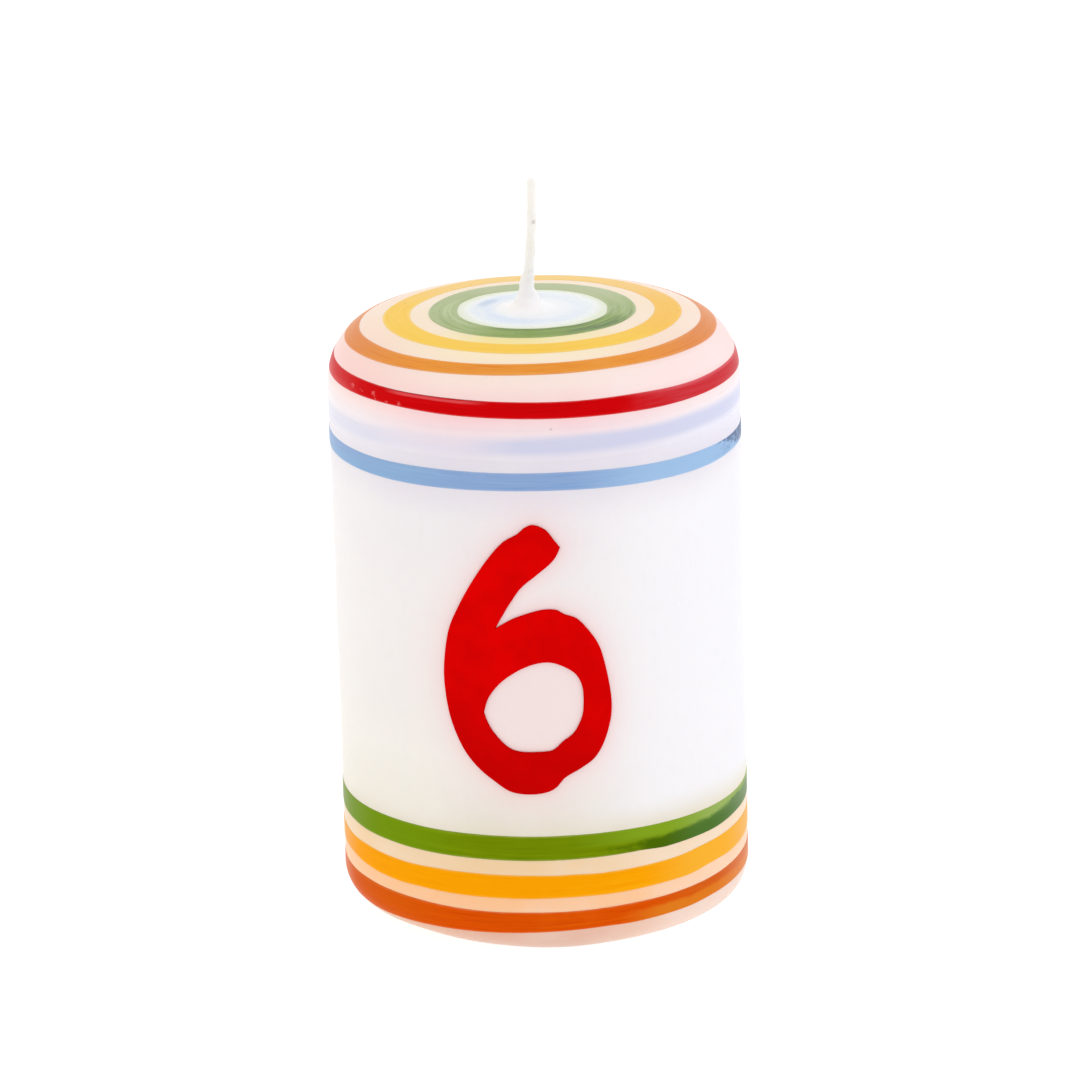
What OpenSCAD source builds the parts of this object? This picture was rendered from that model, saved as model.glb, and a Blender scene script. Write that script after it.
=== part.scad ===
// Pillar candle with a domed top, painted rings and a numeral.
// Millimetres, +Z up. The origin is the middle of the base, on the table.
// The numeral faces -Y.

/* [Candle body] */
// Diameter over the white dip coat
body_d = 61; // [58:0.5:64]
// Height from the table to the middle of the top, without the wick
body_h = 90.3; // [89:0.1:96]
// Fall of the domed top from its middle to where the shoulder begins
dome_fall = 0.6; // [0.3:0.1:0.9]
// How far the rounded shoulder reaches in from the side
shoulder_in = 11.7; // [11.2:0.1:12.2]
// How far the rounded shoulder reaches down
shoulder_drop = 9.4; // [8.8:0.1:9.8]
// How gently the shoulder leaves the top; 2 is an ellipse
shoulder_soft = 3.2; // [2.6:0.1:3.6]
// How squarely the shoulder meets the side; 2 is an ellipse
shoulder_square = 2.2; // [2:0.1:2.5]
// How far the rounded bottom edge reaches in from the side
foot_in = 4.6; // [3:0.1:5]
// How far the rounded bottom edge reaches up
foot_up = 5.2; // [4:0.1:6]
// Thickness of the white dip coat over the wax core
coat_t = 1.2; // [0.8:0.1:1.6]
// Extra thickness of the coat on the table, where the wax gathers as it runs down
foot_pool = 2; // [0.5:0.1:2.4]

/* [Wick] */
// Diameter of the braided wick
wick_d = 1.5; // [1.2:0.1:1.6]
// Free length of the wick above the top
wick_free = 19.7; // [16:0.1:24]
// How far left of the axis the wick leaves the top
wick_left = 0.7; // [0.4:0.1:0.7]
// Sideways reach of the wick's tip from where it leaves the top
wick_lean = 1.15; // [0.4:0.05:2]
// Diameter of the channel through the wax core
channel_d = 3.2; // [3.2:0.1:4]
// Height of the wax cone around the foot of the wick
cone_h = 3.5; // [2.5:0.5:5]
// Width of the wax cone where it meets the top
cone_d = 6.8; // [5:0.2:7]

/* [Wick tab] */
// Diameter of the sheet-metal wick tab
tab_d = 20; // [14:1:24]
// Thickness of its sheet
tab_t = 0.3; // [0.2:0.05:0.4]
// Outside diameter of its crimped neck
neck_d = 2.6; // [2.2:0.1:2.8]
// Height of its neck above the sheet
neck_h = 5; // [3:0.5:8]
// Depth of the tab's seat in the base
seat_depth = 0.8; // [0.6:0.1:1.4]

/* [Painted rings] */
// Thickness of the wax paint
film_t = 0.15; // [0.1:0.05:0.2]
// Pale blue wash on the top: inner radius
wash_in = 4.6; // [4.4:0.1:5]
// Pale blue wash on the top: outer radius
wash_out = 9.6; // [8:0.1:10]
// Green ring on the top: inner radius
green_in = 11; // [10.4:0.1:12]
// Green ring on the top: outer radius
green_out = 15.3; // [14:0.1:16]
// Yellow ring on the top: inner radius
yellow_in = 18; // [17:0.1:18.6]
// Yellow ring on the top: outer radius
yellow_out = 21.9; // [20:0.1:22.6]
// Orange ring on the shoulder: inner radius
orange_in = 24.9; // [24:0.1:25.4]
// Orange ring on the shoulder: outer radius
orange_out = 26.8; // [26.2:0.1:27.2]
// Red ring on the shoulder: first angle round it, from the top
red_a = 61; // [58:0.5:64]
// Red ring on the shoulder: last angle
red_b = 75.5; // [70:0.5:80]
// Lavender band: lower edge below the end of the shoulder
lavender_fall = 3.3; // [2.5:0.1:4]
// Blue ring: upper edge below the end of the shoulder
blue_fall = 5.3; // [4.5:0.1:5.6]
// Width of the blue ring
blue_w = 2.8; // [2:0.1:3.2]
// Lower green ring: lower edge above the table
low_green_z = 14.9; // [14:0.1:16]
// Width of the lower green ring
low_green_w = 3.8; // [3:0.1:5]
// Amber ring: lower edge above the table
amber_z = 9; // [8.5:0.1:9.5]
// Width of the amber ring
amber_w = 3.5; // [3:0.1:4.2]
// Lower orange ring: first angle round the bottom edge
low_orange_a = 17; // [10:1:30]
// Lower orange ring: upper edge above the table
low_orange_top = 6.8; // [6.2:0.1:7.5]

/* [Numeral] */
// Thickness of the cut wax sheet
numeral_t = 0.45; // [0.3:0.05:0.8]
// Height of the numeral
numeral_h = 41; // [34:0.5:42]
// Height of its lower edge above the table
numeral_z = 25.3; // [24:0.1:26]

/* [Hidden] */
$fn = 96;

body_r = body_d / 2;
shoulder_r = body_r - shoulder_in;              // radius where the dome turns into the shoulder
dome_k = dome_fall / pow(shoulder_r, 2);        // the dome is a parabola
shoulder_z = body_h - dome_k * pow(body_r, 2) - shoulder_drop; // height where the straight side begins
wick_r = wick_d / 2;
tab_top = seat_depth;                           // the tab's sheet lies against the roof of its seat

// The outer outline is one curve with a parameter p:
// 0 to 1 the dome, 1 to 2 the shoulder, 2 to 3 the straight side, 3 to 4 the rounded bottom edge.
// g is how far inside the outer surface the curve runs on the top and the side.
function outline(p, g = 0) =
    p <= 1 ? let (r = p * shoulder_r) [r, body_h - g - dome_k * r * r]
    : p <= 2 ? let (a = (p - 1) * 90, r = shoulder_r + (shoulder_in - g) * pow(sin(a), 2 / shoulder_soft))
        [r, body_h - g - dome_k * r * r - (shoulder_drop - g) * (1 - pow(cos(a), 2 / shoulder_square))]
    : p <= 3 ? let (z0 = outline(2, g)[1]) [body_r - g, z0 + (foot_up - z0) * (p - 2)]
    : let (a = (p - 3) * 90, reach = foot_in + (g > 0 ? foot_pool : 0))
        [body_r - g - reach * (1 - cos(a)), foot_up * (1 - sin(a))];

// Outward normal of the outer surface
function normal(p) =
    let (h = 0.0005,
         lo = floor(min(p, 3.999)),
         a = outline(max(p - h, lo)), b = outline(min(p + h, lo + 1)),
         d = (b - a) / norm(b - a))
    [-d[1], d[0]];

// Points along the outline from p0 to p1, with the joins between its four parts kept as points
function steps(p0, p1) =
    let (part = floor(p0 + 1e-6),
         n = part == 2 ? 1 : max(1, ceil((p1 - p0) * [16, 28, 1, 18][part])))
    [for (i = [0:n]) p0 + (p1 - p0) * i / n];
function along(p0, p1) =
    let (next = floor(p0 + 1e-6) + 1)
    p1 <= next + 1e-6 ? steps(p0, p1)
    : concat(steps(p0, next), [for (i = along(next, p1)) if (i > next + 1e-6) i]);

// Places on the outline
function top_at(r) = r <= shoulder_r ? r / shoulder_r
    : 1 + asin(pow((r - shoulder_r) / shoulder_in, shoulder_soft / 2)) / 90;
function shoulder_at(a) = 1 + a / 90;
function side_at(z) = 2 + (shoulder_z - z) / (shoulder_z - foot_up);
function foot_at(a) = 3 + a / 90;

// First and last place of each painted ring, from the middle of the top down to the table
bands = [
    [top_at(wash_in), top_at(wash_out)],
    [top_at(green_in), top_at(green_out)],
    [top_at(yellow_in), top_at(yellow_out)],
    [top_at(orange_in), top_at(orange_out)],
    [shoulder_at(red_a), shoulder_at(red_b)],
    [2, side_at(shoulder_z - lavender_fall)],
    [side_at(shoulder_z - blue_fall), side_at(shoulder_z - blue_fall - blue_w)],
    [side_at(low_green_z + low_green_w), side_at(low_green_z)],
    [side_at(amber_z + amber_w), side_at(amber_z)],
    [side_at(low_orange_top), foot_at(low_orange_a)]
];
stops = concat([0], [for (b = bands) each b], [4]);

// All points of the outer surface, with every ring's edges among them
coat_ps = concat([0], [for (i = [0:len(stops) - 2])
    each [for (p = along(stops[i], stops[i + 1])) if (p > stops[i] + 1e-6) p]]);

core_points = [for (p = along(0, 4)) if (p > 0) outline(p, coat_t)];

// Paint lies on the coat with the same points, so the two meet face to face
module ring(band) {
    ps = along(band[0], band[1]);
    rotate_extrude()
        polygon(concat(
            [for (p = ps) outline(p)],
            [for (i = [len(ps) - 1:-1:0]) outline(ps[i]) + film_t * normal(ps[i])]));
}

// White wax pillar with a straight channel for the wick and a seat for its tab
module wax_core() {
    color([0.95, 0.93, 0.88])
    difference() {
        rotate_extrude()
            polygon(concat([[0, 0], [0, body_h - coat_t]], core_points));
        translate([0, 0, -1]) cylinder(d = channel_d, h = body_h + 2);
        translate([0, 0, -1]) cylinder(d = tab_d + 0.6, h = seat_depth + 1);
    }
}

// The cone that wax leaves on the wick when the candle is lifted out of the dip
function cone_r(t) = wick_r + 0.15 + (cone_d / 2 - wick_r - 0.15) * pow(1 - t, 3.2);

module dip_coat() {
    color([0.96, 0.94, 0.92])
    difference() {
        union() {
            rotate_extrude()
                polygon(concat(
                    [for (p = coat_ps) outline(p)],
                    [for (i = [len(core_points) - 1:-1:0]) core_points[i]],
                    [[0, body_h - coat_t]]));
            translate([-wick_left, 0, body_h])
                rotate_extrude()
                    polygon(concat([[0, cone_h], [0, -0.6], [cone_r(0), -0.6]],
                        [for (i = [1:12]) [cone_r(i / 12), cone_h * i / 12]]));
        }
        translate([-wick_left, 0, body_h - 6]) cylinder(r = wick_r + 0.02, h = 20);
    }
}

// Line of the wick: from its tab, up the channel, out of the cone and a little to the right
wick_rise = wick_free - cone_h;
// share of the free length, and of the lean, at each point above the cone
wick_up = [0.08, 0.16, 0.36, 0.56, 0.78, 1];
wick_side = [0.24, 0.41, 0.65, 0.83, 0.93, 1];
wick_x = concat([0, 0, -wick_left, -wick_left, -wick_left], [for (t = wick_side) wick_lean * t - wick_left]);
wick_z = concat([tab_top - tab_t, tab_top + neck_h + 1, body_h - 8, body_h - 4, body_h + cone_h],
    [for (t = wick_up) body_h + cone_h + wick_rise * t]);

module wick() {
    n = 12;
    m = len(wick_x);
    pts = [for (i = [0:m - 1]) for (j = [0:n - 1])
        [wick_x[i] + wick_r * cos(360 * j / n), wick_r * sin(360 * j / n), wick_z[i]]];
    faces = concat(
        [[for (j = [0:n - 1]) j]],
        [[for (j = [n - 1:-1:0]) (m - 1) * n + j]],
        [for (i = [0:m - 2]) for (j = [0:n - 1]) let (k = (j + 1) % n)
            each [[i * n + j, (i + 1) * n + j, (i + 1) * n + k], [i * n + j, (i + 1) * n + k, i * n + k]]]);
    color([0.97, 0.95, 0.90]) polyhedron(pts, faces, convexity = 4);
}

// Sheet-metal disc with a neck that grips the lower end of the wick
module wick_tab() {
    color([0.75, 0.75, 0.77])
    difference() {
        union() {
            translate([0, 0, tab_top - tab_t]) cylinder(d = tab_d, h = tab_t);
            translate([0, 0, tab_top - tab_t]) cylinder(d = neck_d, h = neck_h + tab_t);
        }
        translate([0, 0, tab_top - tab_t - 1]) cylinder(r = wick_r, h = neck_h + 3);
    }
}

module top_blue_wash() color([0.89, 0.91, 0.98]) ring(bands[0]);
module top_green_ring() color([0.44, 0.57, 0.22]) ring(bands[1]);
module top_yellow_ring() color([0.99, 0.78, 0.25]) ring(bands[2]);
module shoulder_orange_ring() color([0.92, 0.55, 0.12]) ring(bands[3]);
module shoulder_red_ring() color([0.80, 0.02, 0.04]) ring(bands[4]);
module lavender_band() color([0.84, 0.85, 0.94]) ring(bands[5]);
module blue_ring() color([0.55, 0.67, 0.85]) ring(bands[6]);
module base_green_ring() color([0.45, 0.56, 0.03]) ring(bands[7]);
module base_amber_ring() color([0.96, 0.63, 0.02]) ring(bands[8]);
module base_orange_ring() color([0.84, 0.32, 0.02]) ring(bands[9]);

// Smooth open curve through points
function curve(q, n = 3) = [for (i = [0:len(q) - 2])
    let (a = q[max(i - 1, 0)], b = q[i], c = q[i + 1], d = q[min(i + 2, len(q) - 1)])
    for (k = [0:n - 1]) let (t = k / n)
        0.5 * (2 * b + (c - a) * t + (2 * a - 5 * b + 4 * c - d) * t * t + (3 * b - a - 3 * c + d) * t * t * t)];

// The numeral on a flat sheet 41 high, with x from its middle: the brush comes down the left,
// round the bowl and back to the notch, then up the inside of the stem to the tip
stem_and_bowl = [[5.2, 37.5], [4.4, 38.6], [3.2, 40.2], [1.5, 41], [0.2, 40.6], [-1, 39.6], [-3, 38.4],
    [-5, 36.2], [-7.5, 32.6], [-10, 28.2], [-11.6, 24.5], [-12.4, 20], [-12.5, 16.5], [-12, 12.5], [-11, 9.2],
    [-9.5, 6.2], [-7.5, 3.8], [-5, 1.8], [-2.8, 0.4], [0, 0], [2.4, 0.3], [3.8, 1], [5.2, 2.5], [7.6, 3.8],
    [9.6, 5.2], [11, 7.4], [12, 10.4], [12.3, 13], [12, 16.2], [11.2, 20.2], [10.4, 22.6], [9, 24.8], [7.4, 26.6],
    [5.6, 27.4], [4.4, 28.1], [2.6, 28.2], [0.4, 27.7], [-2, 26.8], [-4.4, 25.4]];
stem_inside = [[-4.4, 25.4], [-3.4, 27.2], [-2.2, 29.2], [-0.6, 31.5], [1.4, 33.2], [3.6, 35], [4.6, 36.2], [5.2, 37.5]];
bowl_hole = [[-6.5, 12.5], [-5.8, 14.6], [-4.2, 16.8], [-1.8, 18.7], [0.8, 19.9], [3.1, 20.2], [5, 19.6], [6.9, 18.3],
    [7.9, 16.4], [8.1, 14], [7.8, 11.6], [6.6, 9.3], [4.9, 8], [3.8, 7], [2.6, 6.6], [-1.2, 6.6], [-3.2, 7.4],
    [-5, 9.3], [-6, 11], [-6.5, 12.5]];

// A flat point laid round the side of the candle, seen from the front
function laid(q) = let (s = numeral_h / 41) [body_r * sin(q[0] * s / body_r * 180 / PI), numeral_z + q[1] * s];

module numeral() {
    color([0.84, 0.01, 0.01])
    intersection() {
        rotate([90, 0, 0])
            linear_extrude(height = body_r + 5)
                difference() {
                    polygon([for (q = concat(curve(stem_and_bowl), curve(stem_inside))) laid(q)]);
                    polygon([for (q = curve(bowl_hole)) laid(q)]);
                }
        difference() {
            cylinder(r = body_r + numeral_t, h = body_h);
            translate([0, 0, -1]) cylinder(r = body_r, h = body_h + 2);
        }
    }
}

wax_core();
dip_coat();
wick();
wick_tab();
top_blue_wash();
top_green_ring();
top_yellow_ring();
shoulder_orange_ring();
shoulder_red_ring();
lavender_band();
blue_ring();
base_green_ring();
base_amber_ring();
base_orange_ring();
numeral();
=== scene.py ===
import math

import bpy
import numpy as np
from mathutils import Matrix, Vector
from mathutils.geometry import delaunay_2d_cdt


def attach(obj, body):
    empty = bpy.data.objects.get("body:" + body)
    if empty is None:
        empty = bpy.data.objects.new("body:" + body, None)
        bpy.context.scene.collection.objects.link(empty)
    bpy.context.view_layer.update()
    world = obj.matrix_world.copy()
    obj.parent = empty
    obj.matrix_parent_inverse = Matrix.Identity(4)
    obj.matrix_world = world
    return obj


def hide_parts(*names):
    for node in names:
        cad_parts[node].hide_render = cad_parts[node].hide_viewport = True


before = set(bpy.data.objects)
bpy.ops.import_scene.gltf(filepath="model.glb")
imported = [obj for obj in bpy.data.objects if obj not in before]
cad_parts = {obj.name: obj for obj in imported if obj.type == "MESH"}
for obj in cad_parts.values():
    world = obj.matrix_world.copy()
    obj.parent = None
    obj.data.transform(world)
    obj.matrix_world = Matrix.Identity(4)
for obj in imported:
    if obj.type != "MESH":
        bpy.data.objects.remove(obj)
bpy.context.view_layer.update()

MM = 0.001
TAU = 2 * math.pi

# ------------------------------------------------------------------ outline of the candle, in millimetres
BODY_R, BODY_H = 30.5, 90.3
DOME_FALL, SHOULDER_IN, SHOULDER_DROP = 0.6, 11.7, 9.4
SHOULDER_SOFT, SHOULDER_SQUARE = 3.2, 2.2
FOOT_IN, FOOT_UP, COAT_T, FOOT_POOL = 4.6, 5.2, 1.2, 2.0
SHOULDER_R = BODY_R - SHOULDER_IN
DOME_K = DOME_FALL / SHOULDER_R ** 2
SHOULDER_Z = BODY_H - DOME_K * BODY_R ** 2 - SHOULDER_DROP
WICK_LEFT, WICK_R = 0.7, 0.75


def outline(p, g=0.0):
    """Point (r, z) on the outline: p 0-1 dome, 1-2 shoulder, 2-3 side, 3-4 bottom edge; g inside the surface."""
    if p <= 1:
        r = p * SHOULDER_R
        return r, BODY_H - g - DOME_K * r * r
    if p <= 2:
        a = min((p - 1) * math.pi / 2, math.pi / 2)
        r = SHOULDER_R + (SHOULDER_IN - g) * math.sin(a) ** (2 / SHOULDER_SOFT)
        return r, BODY_H - g - DOME_K * r * r - (SHOULDER_DROP - g) * (1 - max(math.cos(a), 0.0) ** (2 / SHOULDER_SQUARE))
    if p <= 3:
        z0 = outline(2, g)[1]
        return BODY_R - g, z0 + (FOOT_UP - z0) * (p - 2)
    a = (p - 3) * math.pi / 2
    reach = FOOT_IN + (FOOT_POOL if g > 0 else 0.0)
    return BODY_R - g - reach * (1 - math.cos(a)), FOOT_UP * (1 - math.sin(a))


P_TAB = np.concatenate([np.linspace(0, 1, 400), 1 + np.linspace(0, 1, 1200)[1:] ** 1.6, np.linspace(2, 3, 900)[1:], np.linspace(3, 4, 500)[1:]])
RZ_TAB = np.array([outline(p) for p in P_TAB])
S_TAB = np.concatenate([[0.0], np.cumsum(np.hypot(*np.diff(RZ_TAB, axis=0).T))])
T_TAB = np.gradient(RZ_TAB, S_TAB, axis=0)
T_TAB = np.stack([np.convolve(np.pad(T_TAB[:, i], 4, "edge"), np.ones(9) / 9, "valid") for i in (0, 1)], -1)
T_TAB /= np.linalg.norm(T_TAB, axis=1)[:, None]
S_END = float(S_TAB[-1])
S_FOOT = float(np.interp(3, P_TAB, S_TAB))


def s_of(p):
    """Distance along the outline from the middle of the top, in mm."""
    return float(np.interp(p, P_TAB, S_TAB))


def s_top(r):
    n = int(np.argmax(P_TAB >= 2))
    return float(np.interp(r, RZ_TAB[:n, 0], S_TAB[:n]))


def s_shoulder(deg):
    return s_of(1 + deg / 90)


def s_side(z):
    return s_of(2 + (SHOULDER_Z - z) / (SHOULDER_Z - FOOT_UP))


def s_foot(deg):
    return s_of(3 + deg / 90)


def ease(x, lo, hi):
    t = np.clip((np.asarray(x, float) - lo) / (hi - lo), 0, 1)
    return t * t * (3 - 2 * t)


def swell(phi, s):
    """Unevenness of a hand-dipped surface, in mm along the normal. It dies out at the wick and at the base."""
    w = ease(s, 7, 20) * (1 - ease(s, S_END - 9, S_END - 4))
    return w * (-0.05 + 0.030 * np.sin(2 * phi + 0.6 + 0.016 * s) + 0.022 * np.sin(3 * phi - 1.2 + 0.05 * s)
                + 0.015 * np.sin(5 * phi + 2.1 - 0.08 * s) + 0.010 * np.sin(8 * phi + 0.4 + 0.17 * s))


def surf(phi, s, h):
    """Point on the outer surface at angle phi from the front (towards +X), arc s, height h above it; in mm."""
    phi, s, h = np.broadcast_arrays(np.asarray(phi, float), np.asarray(s, float), np.asarray(h, float))
    r = np.interp(s, S_TAB, RZ_TAB[:, 0])
    z = np.interp(s, S_TAB, RZ_TAB[:, 1])
    tr = np.interp(s, S_TAB, T_TAB[:, 0])
    tz = np.interp(s, S_TAB, T_TAB[:, 1])
    d = h + swell(phi, s)
    a = np.clip((s - S_FOOT) / (S_END - S_FOOT), 0, 1) * math.pi / 2
    deg = np.degrees((phi + math.pi) % TAU - math.pi)
    dent = 0.86 * np.exp(-((deg - 6.7) / 17.0) ** 2) - 0.91 * np.exp(-((deg + 39.0) / 13.3) ** 2)
    r = r + 0.92 * np.sin(phi - 0.44) * np.sin(a) ** 2 + dent * ease(a, math.pi / 6, math.pi / 2)
    r = r - tz * d
    z = z + tr * d
    return np.stack([r * np.sin(phi), -r * np.cos(phi), z], -1)


def waves(seed, amp, phi, low=1, high=16, fall=0.8):
    """A closed hand-drawn wobble of about amp mm."""
    rnd = np.random.RandomState(seed)
    out = np.zeros_like(phi)
    norm = 0.0
    for k in range(low, high + 1):
        a = rnd.normal() / k ** fall
        out += a * np.sin(k * phi + rnd.uniform(0, TAU))
        norm += 0.5 / k ** (2 * fall)
    return amp * out / math.sqrt(norm)


# ------------------------------------------------------------------ meshes
def make_mesh(name, verts_mm, faces, attrs=None, smooth=True):
    me = bpy.data.meshes.new(name)
    me.from_pydata((np.asarray(verts_mm) * MM).tolist(), [], faces)
    me.update()
    for key, values in (attrs or {}).items():
        a = me.attributes.new(key, "FLOAT", "POINT")
        a.data.foreach_set("value", np.ascontiguousarray(values, np.float32))
    me.polygons.foreach_set("use_smooth", [smooth] * len(me.polygons))
    ob = bpy.data.objects.new(name, me)
    bpy.context.scene.collection.objects.link(ob)
    return ob


def ring_faces(rows, cols, closed_rows):
    """Quads of a grid that is closed round its columns, and round its rows too if closed_rows."""
    out = []
    last = rows if closed_rows else rows - 1
    for i in range(last):
        a, b = i * cols, ((i + 1) % rows) * cols
        for j in range(cols):
            k = (j + 1) % cols
            out.append((a + j, b + j, b + k, a + k))
    return out


def check_outward(ob):
    """Turns the faces outward if the closed mesh is inside out."""
    me = ob.data
    me.calc_loop_triangles()
    co = np.empty(len(me.vertices) * 3)
    me.vertices.foreach_get("co", co)
    co = co.reshape(-1, 3)
    tri = np.empty(len(me.loop_triangles) * 3, np.int32)
    me.loop_triangles.foreach_get("vertices", tri)
    a, b, c = (co[tri.reshape(-1, 3)[:, i]] for i in range(3))
    if np.einsum("ij,ij->i", a, np.cross(b, c)).sum() < 0:
        me.flip_normals()
    me.update()


def film(name, s0, s1, thick, lip=0.45, cols=720, thin_edge=False):
    """A painted ring: a thin closed skin of wax lying on the coat, with rounded lips or, for a wash, edges that
    thin out to nothing. s0, s1 are its edges per column."""
    phi = np.arange(cols) / cols * TAU
    v = np.array([0, .008, .025, .05, .09, .15, .24, .36, .5, .64, .76, .85, .91, .95, .975, .992, 1.0])
    verts, arc, across = [], [], []
    for t in v:
        s = s0 + (s1 - s0) * t
        e = min(t, 1 - t) * (s1 - s0)
        q = np.clip(e / lip, 0, 1)
        h = -0.004 + (thick + 0.004) * ease(q, 0, 1) if thin_edge else -0.02 + (thick + 0.02) * np.sqrt(1 - (1 - q) ** 2)
        verts.append(surf(phi, s, h)); arc.append(s); across.append(np.full(cols, t))
    for t in (.96, .5, .04):
        s = s0 + (s1 - s0) * t
        verts.append(surf(phi, s, -0.07)); arc.append(s); across.append(np.full(cols, t))
    rows = len(verts)
    ob = make_mesh(name, np.concatenate(verts), ring_faces(rows, cols, True),
                   {"arc": np.concatenate(arc), "across": np.concatenate(across)})
    check_outward(ob)
    return ob


# ------------------------------------------------------------------ the numeral's outline, flat, 41 mm high
STEM_AND_BOWL = [(5.2, 37.5), (4.4, 38.6), (3.2, 40.2), (1.5, 41), (0.2, 40.6), (-1, 39.6), (-3, 38.4), (-5, 36.2),
                 (-7.5, 32.6), (-10, 28.2), (-11.6, 24.5), (-12.4, 20), (-12.5, 16.5), (-12, 12.5), (-11, 9.2),
                 (-9.5, 6.2), (-7.5, 3.8), (-5, 1.8), (-2.8, 0.4), (0, 0), (2.4, 0.3), (3.8, 1), (5.2, 2.5),
                 (7.6, 3.8), (9.6, 5.2), (11, 7.4), (12, 10.4), (12.3, 13), (12, 16.2), (11.2, 20.2), (10.4, 22.6),
                 (9, 24.8), (7.4, 26.6), (5.6, 27.4), (4.4, 28.1), (2.6, 28.2), (0.4, 27.7), (-2, 26.8), (-4.4, 25.4)]
STEM_INSIDE = [(-4.4, 25.4), (-3.4, 27.2), (-2.2, 29.2), (-0.6, 31.5), (1.4, 33.2), (3.6, 35), (4.6, 36.2), (5.2, 37.5)]
BOWL_HOLE = [(-6.5, 12.5), (-5.8, 14.6), (-4.2, 16.8), (-1.8, 18.7), (0.8, 19.9), (3.1, 20.2), (5, 19.6), (6.9, 18.3),
             (7.9, 16.4), (8.1, 14), (7.8, 11.6), (6.6, 9.3), (4.9, 8), (3.8, 7), (2.6, 6.6), (-1.2, 6.6), (-3.2, 7.4),
             (-5, 9.3), (-6, 11), (-6.5, 12.5)]
NUMERAL_Z = 25.3


def curve(q, n=9):
    q = [np.array(x, float) for x in q]
    out = []
    for i in range(len(q) - 1):
        a, b, c, d = q[max(i - 1, 0)], q[i], q[i + 1], q[min(i + 2, len(q) - 1)]
        for k in range(n):
            t = k / n
            out.append(0.5 * (2 * b + (c - a) * t + (2 * a - 5 * b + 4 * c - d) * t * t + (3 * b - a - 3 * c + d) * t ** 3))
    return np.array(out)


def evenly(loop, step):
    """A closed loop with points about step apart; corners stay within half a step."""
    pts = np.vstack([loop, loop[:1]])
    s = np.concatenate([[0], np.cumsum(np.hypot(*np.diff(pts, axis=0).T))])
    n = int(round(s[-1] / step))
    t = np.arange(n) / n * s[-1]
    return np.stack([np.interp(t, s, pts[:, 0]), np.interp(t, s, pts[:, 1])], -1)


def signed_area(loop):
    x, y = loop[:, 0], loop[:, 1]
    return 0.5 * float(np.sum(x * np.roll(y, -1) - np.roll(x, -1) * y))


def inside(loop, pts):
    """Which of pts lie inside the closed loop."""
    x, y = pts[:, 0][:, None], pts[:, 1][:, None]
    x0, y0 = loop[:, 0][None], loop[:, 1][None]
    x1, y1 = np.roll(loop[:, 0], -1)[None], np.roll(loop[:, 1], -1)[None]
    cross = (y0 > y) != (y1 > y)
    with np.errstate(divide="ignore", invalid="ignore"):
        xi = x0 + (y - y0) / (y1 - y0) * (x1 - x0)
    return (np.sum(cross & (x < xi), axis=1) % 2) == 1


def inset(loop, d):
    """The loop moved d mm to its left side, along smoothed normals."""
    t = np.roll(loop, -1, 0) - np.roll(loop, 1, 0)
    t /= np.linalg.norm(t, axis=1)[:, None]
    return loop + d * np.stack([-t[:, 1], t[:, 0]], -1)


OUTER = evenly(np.vstack([curve(STEM_AND_BOWL), curve(STEM_INSIDE)]), 0.16)
HOLE = evenly(curve(BOWL_HOLE), 0.16)
if signed_area(OUTER) < 0:
    OUTER = OUTER[::-1]
if signed_area(HOLE) > 0:
    HOLE = HOLE[::-1]


def on_side(uz, h):
    """Flat numeral points laid round the side, h mm proud of the coat."""
    return surf(uz[:, 0] / BODY_R, np.array([s_side(z) for z in NUMERAL_Z + uz[:, 1]]), h)


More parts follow.
